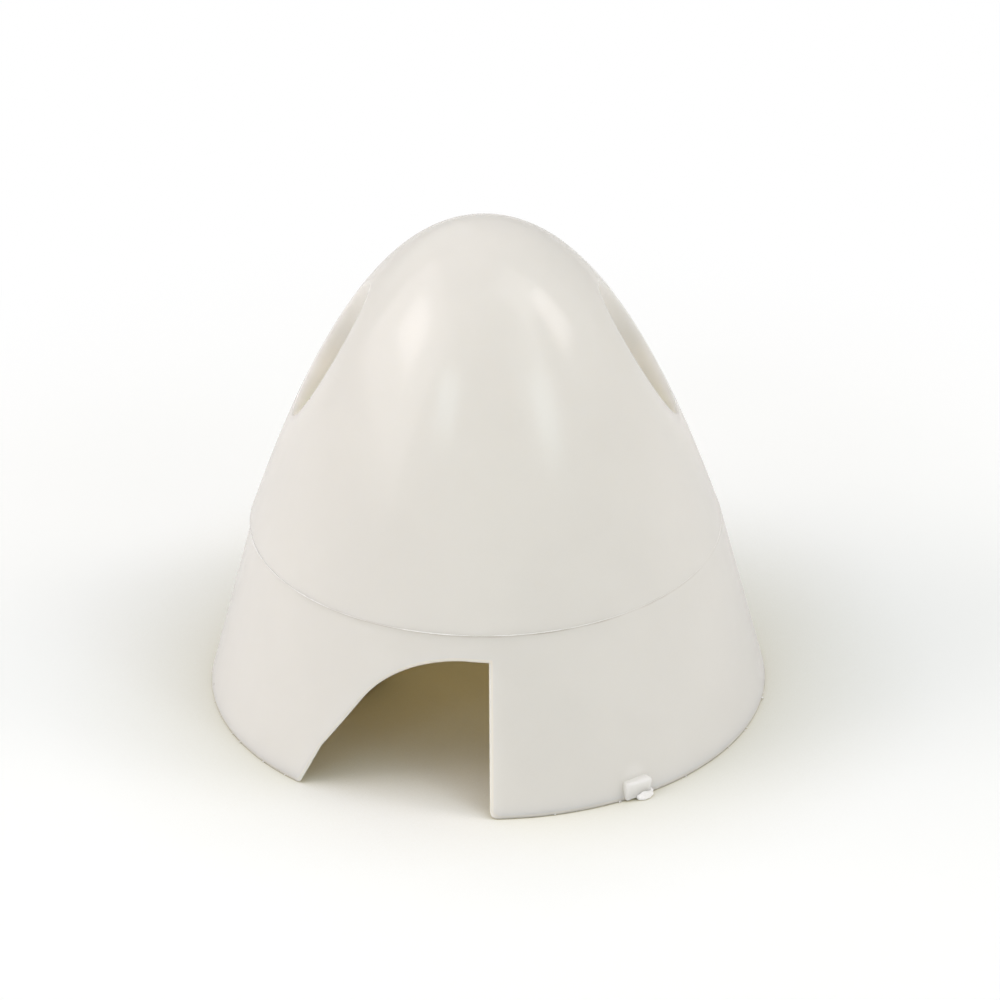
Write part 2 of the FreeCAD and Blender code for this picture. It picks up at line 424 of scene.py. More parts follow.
def filled_patch(outline, holes, points, clearance):
    """Triangles that fill an outline round its holes, through points that keep clear of both."""
    rings = [outline] + holes
    ring_points = np.array([point for ring in rings for point in ring], float)
    points = np.asarray(points, float)
    keep = inside_outline(outline, points)
    for hole in holes:
        keep &= ~inside_outline(hole, points)
    near = np.array([np.min(np.hypot(*(ring_points - point).T)) for point in points])
    points = points[keep & (near > clearance)]
    edges = []
    start = 0
    for ring in rings:
        count = len(ring)
        edges += [(start + index, start + (index + 1) % count) for index in range(count)]
        start += count
    coordinates = [Vector(point) for point in np.vstack((ring_points, points)).tolist()]
    corners, _, triangles, _, _, _ = delaunay_2d_cdt(coordinates, edges, [], 0, 1e-7)
    places = np.array([tuple(corner) for corner in corners])
    centres = np.array([places[list(triangle)].mean(0) for triangle in triangles])
    keep = inside_outline(outline, centres)
    for hole in holes:
        keep &= ~inside_outline(hole, centres)
    return places, [triangle for triangle, kept in zip(triangles, keep) if kept]


def add_patch(mesh, places, triangles, lift):
    corners = [mesh.verts.new(lift(*place)) for place in places]
    for triangle in triangles:
        mesh.faces.new([corners[index] for index in triangle])


def add_rows(mesh, rows, closed=False):
    """Quads between rows of equally many points."""
    rows = [[mesh.verts.new(point) for point in row] for row in rows]
    count = len(rows[0])
    for upper, lower in zip(rows, rows[1:]):
        for index in range(count if closed else count - 1):
            after = (index + 1) % count
            mesh.faces.new((upper[index], upper[after], lower[after], lower[index]))


def add_skirt_patch(mesh, skin, lower_edge, top_height, columns, row_spacing, clearance):
    """Front half of the skirt between its lower edge and the seam, laid out flat by azimuth and height."""
    scale = skin.rim_radius

    def flat(point):
        return math.atan2(point.x, -point.y) * scale / MILLIMETRE, point.z / MILLIMETRE

    def lift(across, height):
        return skin.skirt_point(across * MILLIMETRE / scale, height * MILLIMETRE)

    foot = lower_edge[0].z
    rows = max(2, round((top_height - foot) / row_spacing))
    heights = [(foot + (top_height - foot) * index / rows) / MILLIMETRE for index in range(rows + 1)]
    side = math.pi / 2 * scale / MILLIMETRE
    across = [side * (1 - 2 * index / columns) for index in range(columns + 1)]
    outline = [flat(point) for point in lower_edge]
    outline[0] = (side, heights[0])
    outline[-1] = (-side, heights[0])
    outline += [(-side, height) for height in heights[1:-1]]
    outline += [(place, heights[-1]) for place in reversed(across)]
    outline += [(side, height) for height in reversed(heights[1:-1])]
    grid = [(place, height) for place in across[1:-1] for height in heights[1:-1]]
    places, triangles = filled_patch(outline, [], grid, clearance)
    add_patch(mesh, places, triangles, lift)


def add_dome_patch(mesh, skin, top_radius, columns, spacing, holes, clearance):
    """Dome above the seam, laid out flat by the path from its tip, round the holes of the two wells."""

    def flat(x, y):
        radius = math.hypot(x, y)
        path = np.interp(radius, skin.radii, skin.paths)
        return x / radius * path / MILLIMETRE, y / radius * path / MILLIMETRE

    def lift(u, v):
        path = math.hypot(u, v) * MILLIMETRE
        radius = float(np.interp(path, skin.paths, skin.radii))
        turn = math.atan2(v, u)
        return skin.dome_point(radius * math.cos(turn), radius * math.sin(turn))

    def ring(radius, count):
        turns = [2 * math.pi * index / count for index in range(count)]
        return [flat(radius * math.sin(turn), -radius * math.cos(turn)) for turn in turns]

    outline = ring(top_radius, columns)
    flat_holes = [[flat(x, y) for x, y in hole] for hole in holes]
    end = float(np.interp(top_radius, skin.radii, skin.paths))
    rings = max(4, round(end / spacing))
    grid = [(0, 0)]
    for index in range(1, rings):
        radius = float(np.interp(end * index / rings, skin.paths, skin.radii))
        grid += ring(radius, min(columns, max(8, round(2 * math.pi * radius / spacing))))
    places, triangles = filled_patch(outline, flat_holes, grid, clearance)
    add_patch(mesh, places, triangles, lift)


def circle(centre_x, radius, height, count):
    """Evenly spaced points round an upright axis."""
    points = []
    for index in range(count):
        turn = 2 * math.pi * index / count
        points.append(Vector((centre_x + radius * math.cos(turn), radius * math.sin(turn), height)))
    return points


def well_rows(sizes, outer, inner, side, count=WELL_COLUMNS):
    """Rows of points down a screw well, out through its hole and up its tube to the inner skin."""
    small = sizes.edge_round
    middle = side * sizes.screw_spacing / 2
    on_skin, corner, on_wall = [], [], []
    for index in range(count):
        turn = 2 * math.pi * index / count
        way = Vector((math.cos(turn), math.sin(turn)))
        edge = Vector((middle, 0)) + way * sizes.well_radius
        slope = outer.dome_slope(edge.length) * way.dot(edge.normalized())
        beside = edge + way * (small / math.hypot(1, slope))
        on_skin.append(outer.dome_point(beside.x, beside.y))
        corner.append(outer.dome_point(edge.x, edge.y))
        on_wall.append(corner[-1] - Vector((0, 0, small)))
    rows = rounded_rows(on_skin, corner, on_wall)
    floor = sizes.tube_end_height + sizes.tube_floor
    shifted = middle + outer.shift
    for step in (0.3, 0.6, 0.85):
        rows.append([Vector((point.x, point.y, point.z + (floor - point.z) * step)) for point in on_wall])
    rows.append(circle(shifted, sizes.well_radius, floor, count))
    rows.append(circle(middle, sizes.screw_hole_radius, floor, count))
    rows.append(circle(middle, sizes.screw_hole_radius, sizes.tube_end_height, count))
    tube_radius = sizes.well_radius + sizes.tube_wall
    rows.append(circle(middle, tube_radius, sizes.tube_end_height, count))
    top = [inner.dome_point(point.x, point.y) for point in circle(middle, tube_radius, 0, count)]
    rows.append(top)
    mouth = [(point.x - outer.shift, point.y) for point in on_skin]
    return rows, mouth, [(point.x, point.y) for point in top]


def seam_rows(sizes, outer, columns):
    """Rows of points over the rounded step of the mould seam, from the nose down to the skirt."""
    small = sizes.seam_round
    rows = []
    for height, on_nose in ((small, True), (small / 4, True), (-small / 4, False), (-small, False)):
        level = sizes.seam_height + height
        radius = outer.dome_radius(level) if on_nose else outer.skirt_radius(level)
        shift = outer.shift if on_nose else 0
        row = []
        for index in range(columns):
            turn = 2 * math.pi * index / columns
            row.append(Vector((shift + radius * math.sin(turn), -radius * math.cos(turn), level)))
        rows.append(row)
    return rows


def web_block(sizes, inner, side):
    """Corners of the web between a tube and the skirt, rooted in both walls."""
    root = sizes.screw_spacing / 2 + sizes.well_radius + sizes.tube_wall * 0.6
    half = sizes.web_thickness / 2
    corners = []
    for height in (sizes.tube_end_height, sizes.seam_height):
        reach = inner.skirt_radius(height) + sizes.wall * 0.4
        for x, y in ((root, -half), (reach, -half), (reach, half), (root, half)):
            corners.append(Vector((side * x, y, height)))
    return corners


def webs_mesh(sizes, inner):
    """The webs of both tubes."""
    faces = ((0, 3, 2, 1), (4, 5, 6, 7), (0, 1, 5, 4), (1, 2, 6, 5), (2, 3, 7, 6), (3, 0, 4, 7))
    mesh = bmesh.new()
    for side in (-1, 1):
        corners = [mesh.verts.new(corner) for corner in web_block(sizes, inner, side)]
        for face in faces:
            mesh.faces.new([corners[index] for index in face])
    return mesh


def mesh_object(name, mesh):
    """A new object in the scene from a bmesh, which is freed."""
    data = bpy.data.meshes.new(name)
    mesh.to_mesh(data)
    mesh.free()
    piece = bpy.data.objects.new(name, data)
    bpy.context.scene.collection.objects.link(piece)
    return piece


def closed_up(mesh, distance=0.002 * MILLIMETRE):
    """Merges what meets along the seams and turns the faces outwards."""
    bmesh.ops.remove_doubles(mesh, verts=mesh.verts, dist=distance)
    bmesh.ops.dissolve_degenerate(mesh, edges=mesh.edges, dist=distance)
    bmesh.ops.recalc_face_normals(mesh, faces=mesh.faces)
    open_edges = [edge for edge in mesh.edges if len(edge.link_faces) != 2]
    if open_edges:
        first = [round(value / MILLIMETRE, 2) for value in open_edges[0].verts[0].co]
        raise RuntimeError(f"{len(open_edges)} edges of the shell are open, the first near {first}")


def shell_mesh(sizes):
    """The whole moulding without its webs and gate."""
    outer = outer_skin(sizes)
    inner = inner_skin(sizes)
    mesh = bmesh.new()
    edge_rows = skirt_edge_rows(sizes, outer, inner)
    add_rows(mesh, edge_rows)
    seam = seam_rows(sizes, outer, SEAM_COLUMNS)
    add_skirt_patch(mesh, outer, edge_rows[0], seam[-1][0].z, SEAM_COLUMNS // 2,
                    OUTER_SKIRT_SPACING, CLEARANCE)
    add_skirt_patch(mesh, inner, edge_rows[-1], sizes.seam_height, SEAM_COLUMNS // 4,
                    INNER_SPACING, CLEARANCE)
    bmesh.ops.duplicate(mesh, geom=mesh.verts[:] + mesh.edges[:] + mesh.faces[:])
    half = len(mesh.verts) // 2
    bmesh.ops.rotate(mesh, cent=(0, 0, 0), matrix=Matrix.Rotation(math.pi, 3, "Z"), verts=mesh.verts[half:])
    add_rows(mesh, seam, closed=True)
    mouths = []
    tube_tops = []
    for side in (-1, 1):
        rows, mouth, tube_top = well_rows(sizes, outer, inner, side)
        add_rows(mesh, rows, closed=True)
        mouths.append(mouth)
        tube_tops.append(tube_top)
    top_radius = outer.dome_radius(seam[0][0].z)
    add_dome_patch(mesh, outer, top_radius, SEAM_COLUMNS, OUTER_DOME_SPACING, mouths, OUTER_DOME_CLEARANCE)
    add_dome_patch(mesh, inner, inner.foot_radius, SEAM_COLUMNS // 2, INNER_SPACING, tube_tops, CLEARANCE)
    closed_up(mesh)
    return mesh


def give_modifier(piece, kind, **settings):
    modifier = piece.modifiers.new(kind.title(), kind)
    for name, value in settings.items():
        setattr(modifier, name, value)
    return modifier


def apply_modifiers(piece):
    """Puts the result of the piece's modifiers into its mesh."""
    graph = bpy.context.evaluated_depsgraph_get()
    data = bpy.data.meshes.new_from_object(piece.evaluated_get(graph))
    piece.modifiers.clear()
    piece.data = data


class SPINNER_OT_shell(bpy.types.Operator):
    """Build the one-piece moulding"""

    bl_idname = "spinner.shell"
    bl_label = "Moulded shell"

    def execute(self, context):
        sizes = context.scene.spinner_sizes
        piece = mesh_object("moulded_shell", shell_mesh(sizes))
        for name, mesh in (("webs", webs_mesh(sizes, inner_skin(sizes))), ("gate_stub", stub_mesh(sizes))):
            bmesh.ops.recalc_face_normals(mesh, faces=mesh.faces)
            part = mesh_object(name, mesh)
            give_modifier(piece, "BOOLEAN", operation="UNION", solver="EXACT", object=part)
            apply_modifiers(piece)
            bpy.data.objects.remove(part)
        piece.data.shade_smooth()
        piece.data.set_sharp_from_angle(angle=SHARP_ANGLE)
        give_modifier(piece, "WEIGHTED_NORMAL", keep_sharp=True, weight=90)
        apply_modifiers(piece)
        mark_depth(piece, outer_skin(sizes))
        mark_edges(piece, sizes)
        finish_piece(piece, plastic_material(context.scene))
        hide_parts("spinner_cone")
        return {"FINISHED"}


def finish_piece(piece, material):
    """Gives a piece its finish and lets it ride with the spinner."""
    piece.data.materials.clear()
    piece.data.materials.append(material)
    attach(piece, "root")


def rounded_block(sizes, radius, cuts=14):
    """A block with rounded edges about the origin, divided finely enough to be made uneven."""
    mesh = bmesh.new()
    bmesh.ops.create_cube(mesh, size=1)
    bmesh.ops.subdivide_edges(mesh, edges=mesh.edges[:], cuts=cuts, use_grid_fill=True)
    limits = [size / 2 - radius for size in sizes]
    for corner in mesh.verts:
        place = Vector([part * size for part, size in zip(corner.co, sizes)])
        core = Vector([max(-limit, min(limit, value)) for value, limit in zip(place, limits)])
        corner.co = core + (place - core).normalized() * radius
    return mesh


def make_uneven(mesh, depth, wave, seed):
    """Moves the surface in and out by a small random amount."""
    mesh.normal_update()
    start = Vector((seed, seed, seed))
    moves = [corner.normal * noise.noise(corner.co / wave + start) * depth for corner in mesh.verts]
    for corner, move in zip(mesh.verts, moves):
        corner.co += move


def gate_frame(sizes):
    """Place at the foot of the gate's cut face, with its axes outwards, across the gate and up."""
    azimuth = sizes.gate_azimuth
    outwards = Vector((math.sin(azimuth), -math.cos(azimuth), 0))
    across = Vector((math.cos(azimuth), math.sin(azimuth), 0))
    turn = Matrix((outwards, across, Vector((0, 0, 1)))).transposed().to_4x4()
    return Matrix.Translation(outwards * (sizes.rim_radius + sizes.gate_proud)) @ turn


def stub_mesh(sizes):
    """Stub of the cut gate, rooted in the middle of the skirt's wall."""
    depth = sizes.wall / 2 + sizes.gate_proud
    height = sizes.gate_height
    mesh = rounded_block((depth, sizes.gate_width, height), sizes.gate_round)
    for corner in mesh.verts:
        torn = math.cos(math.pi * max(-0.5, min(0.5, corner.co.y / sizes.gate_width + 0.1))) ** 2
        corner.co.z += sizes.gate_notch * torn * max(0, 0.5 - corner.co.z / height) ** 2
    make_uneven(mesh, 0.08 * MILLIMETRE, 0.8 * MILLIMETRE, 3.7)
    mesh.transform(gate_frame(sizes) @ Matrix.Translation((-depth / 2, 0, sizes.gate_height / 2)))
    return mesh


def sliver_mesh(sizes):
    """Torn flake at the gate's foot: a crescent that slopes down to a thin outer edge."""
    reach, width, thickness = sizes.sliver_reach, sizes.sliver_width, sizes.sliver_thickness
    mesh = rounded_block((reach, width, thickness), thickness * 0.45)
    for corner in mesh.verts:
        bulge = math.sqrt(max(0, 1 - (2 * corner.co.y / width) ** 2))
        outwards = (corner.co.x / reach + 0.5) * (0.3 + 0.7 * bulge)
        height = corner.co.z / thickness + 0.5
        corner.co.x = (outwards - 0.5) * reach
        corner.co.z = height * thickness * (1 - 0.7 * outwards ** 2) * (0.55 + 0.45 * bulge)
    make_uneven(mesh, 0.16 * MILLIMETRE, 0.45 * MILLIMETRE, 8.2)
    ahead = 0.45 * MILLIMETRE
    place = Matrix.Translation((ahead - reach / 2, sizes.sliver_aside, 0))
    mesh.transform(gate_frame(sizes) @ place)
    for corner in mesh.verts:
        corner.co.z = max(corner.co.z, 0)
    return mesh


class SPINNER_OT_gate(bpy.types.Operator):
    """Build the torn flake that hangs on the stub of the cut gate"""

    bl_idname = "spinner.gate"
    bl_label = "Torn gate flake"

    def execute(self, context):
        mesh = sliver_mesh(context.scene.spinner_sizes)
        bmesh.ops.recalc_face_normals(mesh, faces=mesh.faces)
        piece = mesh_object("torn_gate_flake", mesh)
        piece.data.shade_smooth()
        finish_piece(piece, torn_material(context.scene))
        return {"FINISHED"}


def geometry_tree(name, inputs):
    """A new geometry node tree with named inputs: the tree, its input sockets and the socket to end in."""
    tree = bpy.data.node_groups.new(name, "GeometryNodeTree")
    tree.interface.new_socket("Geometry", in_out="INPUT", socket_type="NodeSocketGeometry")
    for label, kind in inputs:
        tree.interface.new_socket(label, in_out="INPUT", socket_type="NodeSocket" + kind)
    tree.interface.new_socket("Geometry", in_out="OUTPUT", socket_type="NodeSocketGeometry")
    nodes = Nodes(tree)
    entry = nodes.add("NodeGroupInput").outputs
    leave = nodes.add("NodeGroupOutput").inputs["Geometry"]
    return tree, nodes, entry, leave


def grow(piece, tree, values):
    """Runs a geometry node tree on a piece and keeps the result as its mesh."""
    modifier = give_modifier(piece, "NODES", node_group=tree)
    for item in tree.interface.items_tree:
        if item.name in values:
            modifier[item.identifier] = values[item.name]
    apply_modifiers(piece)


def flash_tree():
    """Ridge of plastic squeezed out along the mould seam, thickest towards one side."""
    tree, nodes, entry, leave = geometry_tree("mould_line_flash", (
        ("Radius", "Float"), ("Height", "Float"), ("Shift", "Float"), ("Thickness", "Float"),
        ("Thick side", "Vector"), ("Material", "Material")))
    ring = nodes.add("GeometryNodeCurvePrimitiveCircle", {"Resolution": 900, "Radius": entry["Radius"]})
    middle = nodes.add("ShaderNodeCombineXYZ", {"X": entry["Shift"], "Z": entry["Height"]})
    ring = nodes.add("GeometryNodeSetPosition", {
        "Geometry": ring.outputs["Curve"], "Offset": middle.outputs[0]})
    place = nodes.add("GeometryNodeInputPosition").outputs[0]
    place = nodes.vector_maths("SCALE", place)
    place.inputs["Scale"].default_value = 1 / MILLIMETRE
    place = place.outputs[0]
    way = nodes.vector_maths("NORMALIZE", place).outputs[0]
    towards = nodes.vector_maths("DOT_PRODUCT", way, entry["Thick side"]).outputs["Value"]
    side = nodes.ramp(towards, -0.1, 0.8, 0.35, 1.0)
    patches = nodes.ramp(nodes.noise(place, 0.22, 1.0), 0.35, 0.65, 0.2, 1.0)
    size = nodes.maths("MULTIPLY", nodes.maths("MULTIPLY", side, patches), entry["Thickness"])
    profile = nodes.add("GeometryNodeCurvePrimitiveCircle", {"Resolution": 8, "Radius": 1.0})
    ridge = nodes.add("GeometryNodeCurveToMesh", {
        "Curve": ring.outputs[0], "Profile Curve": profile.outputs[0], "Scale": size})
    end_tree(nodes, entry, leave, ridge.outputs[0])
    return tree


def end_tree(nodes, entry, leave, geometry):
    """Ends a geometry tree: real geometry, smooth and with its material."""
    real = nodes.add("GeometryNodeRealizeInstances", {"Geometry": geometry})
    smooth = nodes.add("GeometryNodeSetShadeSmooth", {"Geometry": real.outputs[0]})
    finished = nodes.add("GeometryNodeSetMaterial", {
        "Geometry": smooth.outputs[0], "Material": entry["Material"]})
    nodes.give(leave, finished.outputs[0])


class SPINNER_OT_flash(bpy.types.Operator):
    """Build the thin ridge of plastic along the mould seam"""

    bl_idname = "spinner.flash"
    bl_label = "Mould seam ridge"

    def execute(self, context):
        sizes = context.scene.spinner_sizes
        piece = mesh_object("mould_line_flash", bmesh.new())
        grow(piece, flash_tree(), {
            "Radius": sizes.dome_foot_radius, "Height": sizes.seam_height, "Shift": -sizes.mould_shift,
            "Thickness": sizes.flash_thickness, "Thick side": sky_way(sizes.flash_azimuth, 0),
            "Material": torn_material(context.scene)})
        finish_piece(piece, torn_material(context.scene))
        return {"FINISHED"}


def burr_tree():
    """Small torn grains of plastic, one on each point."""
    tree, nodes, entry, leave = geometry_tree("rim_burrs", (
        ("Unevenness", "Float"), ("Seed", "Int"), ("Material", "Material")))
    grain = nodes.add("GeometryNodeMeshIcoSphere", {"Radius": 1.0, "Subdivisions": 3})
    size = nodes.add("GeometryNodeInputNamedAttribute", {"Name": BURR_SIZE}, data_type="FLOAT")
    shape = nodes.add("FunctionNodeRandomValue", {"Seed": entry["Seed"]}, data_type="FLOAT_VECTOR")
    shape.inputs[0].default_value = (0.7, 0.5, 0.35)
    shape.inputs[1].default_value = (1.5, 0.9, 0.6)
    scale = nodes.vector_maths("SCALE", shape.outputs["Value"])
    nodes.give(scale.inputs["Scale"], size.outputs["Attribute"])
    turn = nodes.add("FunctionNodeRandomValue", {"Seed": entry["Seed"]}, data_type="FLOAT_VECTOR")
    turn.inputs[1].default_value = (0.4, 0.4, math.tau)
    grains = nodes.add("GeometryNodeInstanceOnPoints", {
        "Points": entry["Geometry"], "Instance": grain.outputs[0], "Rotation": turn.outputs["Value"],
        "Scale": scale.outputs[0]})
    real = nodes.add("GeometryNodeRealizeInstances", {"Geometry": grains.outputs[0]})
    place = nodes.add("GeometryNodeInputPosition").outputs[0]
    waves = nodes.add("ShaderNodeTexNoise", {"Vector": place, "Scale": 9 / MILLIMETRE, "Detail": 1.0})
    offset = nodes.vector_maths("SUBTRACT", waves.outputs["Color"], (0.5, 0.5, 0.5))
    offset = nodes.vector_maths("SCALE", offset.outputs[0])
    nodes.give(offset.inputs["Scale"], entry["Unevenness"])
    moved = nodes.add("GeometryNodeSetPosition", {"Geometry": real.outputs[0], "Offset": offset.outputs[0]})
    end_tree(nodes, entry, leave, moved.outputs[0])
    return tree


def burr_points(sizes, seed=11):
    """Points along the rim's lower edge, clear of the blade cut-outs, with the size of the burr on each."""
    outline = cutout_outline(sizes)
    gap_end = math.asin(outline[0].x / sizes.rim_radius)
    gap_start = math.asin(outline[-1].x / sizes.rim_radius)
    dice = random.Random(seed)
    burrs = [(math.radians(azimuth), size * MILLIMETRE) for azimuth, size in LARGE_BURRS]
    for _ in range(sizes.burr_count):
        azimuth = dice.uniform(gap_end, gap_start + math.pi) + dice.choice((0, math.pi))
        burrs.append((azimuth, (0.02 + 0.07 * dice.random() ** 3) * MILLIMETRE))
    places = []
    for azimuth, size in burrs:
        radius = sizes.rim_radius - 0.3 * size
        places.append((radius * math.sin(azimuth), -radius * math.cos(azimuth), 0.8 * size))
    return places, [size for _, size in burrs]


class SPINNER_OT_burrs(bpy.types.Operator):
    """Scatter the small burrs along the rim"""

    bl_idname = "spinner.burrs"
    bl_label = "Rim burrs"

    def execute(self, context):
        places, burr_sizes = burr_points(context.scene.spinner_sizes)
        data = bpy.data.meshes.new("rim_burrs")
        data.from_pydata(places, [], [])
        data.attributes.new(BURR_SIZE, "FLOAT", "POINT").data.foreach_set("value", burr_sizes)
        piece = bpy.data.objects.new("rim_burrs", data)
        context.scene.collection.objects.link(piece)
        grow(piece, burr_tree(), {"Unevenness": 0.05 * MILLIMETRE, "Seed": 4,
                                  "Material": torn_material(context.scene)})
        finish_piece(piece, torn_material(context.scene))
        return {"FINISHED"}


class Nodes:
    """Adds nodes to a tree and joins them."""

    def __init__(self, tree):
        self.tree = tree

    def give(self, socket, value):
        if isinstance(value, bpy.types.NodeSocket):
            self.tree.links.new(value, socket)
        else:
            socket.default_value = value

    def add(self, kind, inputs=(), **settings):
        node = self.tree.nodes.new(kind)
        for name, value in settings.items():
            setattr(node, name, value)
        for name, value in dict(inputs).items():
            self.give(node.inputs[name], value)
        return node

    def maths(self, operation, *values, clamp=False):
        node = self.add("ShaderNodeMath", operation=operation, use_clamp=clamp)
        for socket, value in zip(node.inputs, values):
            self.give(socket, value)
        return node.outputs[0]

    def vector_maths(self, operation, *values):
        node = self.add("ShaderNodeVectorMath", operation=operation)
        for socket, value in zip(node.inputs, values):
            self.give(socket, value)
        return node

    def ramp(self, value, low, high, start=0.0, end=1.0):
        """A smooth step from start to end, as the value goes from low to high."""
        node = self.add("ShaderNodeMapRange", interpolation_type="SMOOTHSTEP")
        for socket, entry in zip(node.inputs, (value, low, high, start, end)):
            self.give(socket, entry)
        return node.outputs[0]

    def blend(self, amount, first, second):
        """The first colour turning into the second."""
        node = self.add("ShaderNodeMix", data_type="RGBA")
        self.give(node.inputs["Factor"], amount)
        for name, entry in (("A", first), ("B", second)):
            socket = next(item for item in node.inputs if item.name == name and item.type == "RGBA")
            self.give(socket, entry if isinstance(entry, bpy.types.NodeSocket) else (*entry, 1))
        return next(item for item in node.outputs if item.type == "RGBA")

    def noise(self, place, scale, detail=2.0, stretch=None):
        """Noise from 0 to 1 with a given number of waves for each millimetre."""
        if stretch:
            place = self.vector_maths("MULTIPLY", place, stretch).outputs[0]
        node = self.add("ShaderNodeTexNoise", {"Vector": place, "Scale": scale, "Detail": detail})
        return node.outputs[0]


def plastic_material(scene):
    """White moulded plastic, softly glossy and a little translucent, with painted light and painted shade."""
    sizes = scene.spinner_sizes
    finish = scene.spinner_finish
    material = bpy.data.materials.get("white_plastic_finish")
    if material:
        return material
    material = bpy.data.materials.new("white_plastic_finish")
    material.use_nodes = True
    nodes = Nodes(material.node_tree)
    shader = material.node_tree.nodes["Principled BSDF"]
    place = object_place(nodes)
    depth = nodes.add("ShaderNodeAttribute", attribute_name=DEPTH).outputs["Fac"]
    inside = nodes.ramp(depth, 1.1, 1.35)
    outside = nodes.maths("SUBTRACT", 1.0, inside)
    # Painted light: the outer surface near the rim and the cut-outs turns paler, standing in for the glow and
    # highlight of the thin edges
    beside = nodes.add("ShaderNodeAttribute", attribute_name=EDGE_DISTANCE).outputs["Fac"]
    edge_width = finish.edge_width / MILLIMETRE
    edge = nodes.maths("MULTIPLY", nodes.ramp(beside, 0.0, edge_width, finish.painted_edge_light_strength, 0.0), outside)
    base = cloudy_colour(nodes, finish, place)
    base = nodes.blend(edge, base, finish.painted_edge_light)
    # Painted light: behind the outer skin the colour turns warm, standing in for light that comes in through
    # the wall
    base = nodes.blend(inside, base, finish.inside_painted_light)
    # Painted light in the screw wells: from the body's colour at the top of the mouth to paler colours lower
    # down, lifting the shade deep in them
    height = nodes.add("ShaderNodeSeparateXYZ", {"Vector": place}).outputs["Z"]
    well = nodes.blend(nodes.ramp(height, 25.0, 29.0), finish.well_low_painted_light, finish.well_painted_light)
    well = nodes.blend(nodes.ramp(height, 29.0, 33.5), well, finish.plastic)
    base = nodes.blend(well_share(nodes, sizes, place), base, well)
    base = nodes.blend(gate_blush(nodes, sizes, finish, place), base, finish.plastic_torn)
    # Painted shade under the seam and along the rim's foot, and the specks of grime, on the outer surface
    # only
    dirt_and_shade_amount = nodes.maths("MULTIPLY", dirt_and_shade_share(nodes, sizes, finish, place), outside)
    base = nodes.blend(dirt_and_shade_amount, base, finish.dirt_and_shade)
    nodes.give(shader.inputs["Base Color"], base)
    nodes.give(shader.inputs["Roughness"], wiped_roughness(nodes, finish.roughness, place))
    nodes.give(shader.inputs["Normal"], uneven_surface(nodes, finish, place))
    shader.inputs["IOR"].default_value = 1.46
    shader.inputs["Subsurface Weight"].default_value = finish.glow
    shader.inputs["Subsurface Radius"].default_value = (1, 1, 1)
    shader.inputs["Subsurface Scale"].default_value = finish.glow_depth
    return material


def torn_material(scene):
    """Torn and stretched plastic: whiter and rougher than the moulded surface."""
    finish = scene.spinner_finish
    material = bpy.data.materials.get("torn_plastic_finish")
    if material:
        return material
    material = bpy.data.materials.new("torn_plastic_finish")
    material.use_nodes = True
    nodes = Nodes(material.node_tree)
    shader = material.node_tree.nodes["Principled BSDF"]
    place = object_place(nodes)
    streaks = nodes.noise(place, 2.2, 3.0, stretch=(1.0, 1.0, 0.4))
    base = nodes.blend(nodes.ramp(streaks, 0.35, 0.7, 0.0, 0.5), finish.plastic_torn, finish.plastic)
    nodes.give(shader.inputs["Base Color"], base)
    nodes.give(shader.inputs["Roughness"], nodes.ramp(streaks, 0.3, 0.7, 0.4, 0.55))
    grain = nodes.maths("MULTIPLY", nodes.noise(place, 4.0, 2.0), 0.02)
    bump = nodes.add("ShaderNodeBump", {"Strength": 1.0, "Distance": MILLIMETRE, "Height": grain})
    nodes.give(shader.inputs["Normal"], bump.outputs[0])
    shader.inputs["IOR"].default_value = 1.5
    return material


def object_place(nodes):
    """Place on the object in millimetres."""
    place = nodes.vector_maths("SCALE", nodes.add("ShaderNodeTexCoord").outputs["Object"])
    place.inputs["Scale"].default_value = 1 / MILLIMETRE
    return place.outputs[0]


def cloudy_colour(nodes, finish, place):
    """Body colour with faint cloudy patches, as where the melt flowed together."""
    darker = [value * (1 - finish.cloudiness) for value in finish.plastic]
    patches = nodes.ramp(nodes.noise(place, 0.11, 3.0), 0.35, 0.7)
    return nodes.blend(patches, finish.plastic, darker)


def wiped_roughness(nodes, roughness, place):
    """Roughness with faint slanting wipe marks."""
    wipes = nodes.noise(place, 0.5, 3.0, stretch=(1.0, 1.0, 0.12))
    return nodes.ramp(wipes, 0.3, 0.75, roughness - 0.01, roughness + 0.02)


def uneven_surface(nodes, finish, place):
    """Slight waviness of the moulding, with a finer grain on it. The heights are in millimetres."""
    waves = nodes.maths("MULTIPLY", nodes.noise(place, 0.09, 1.0), finish.waviness / MILLIMETRE)
    grain = nodes.maths("MULTIPLY", nodes.noise(place, 1.4, 2.0), finish.grain / MILLIMETRE)
    height = nodes.maths("ADD", waves, grain)
    bump = nodes.add("ShaderNodeBump", {"Strength": 1.0, "Distance": MILLIMETRE, "Height": height})
    return bump.outputs[0]


def gate_blush(nodes, sizes, finish, place):
    """Paler plastic round the gate, where it was strained."""
    azimuth = sizes.gate_azimuth
    centre = sky_way(azimuth, 0) * sizes.rim_radius + Vector((0, 0, sizes.gate_height * 1.1))
    away = nodes.vector_maths("DISTANCE", place, tuple(centre / MILLIMETRE)).outputs["Value"]
    return nodes.ramp(away, 0.5, finish.blush_reach / MILLIMETRE, finish.blush, 0.0)


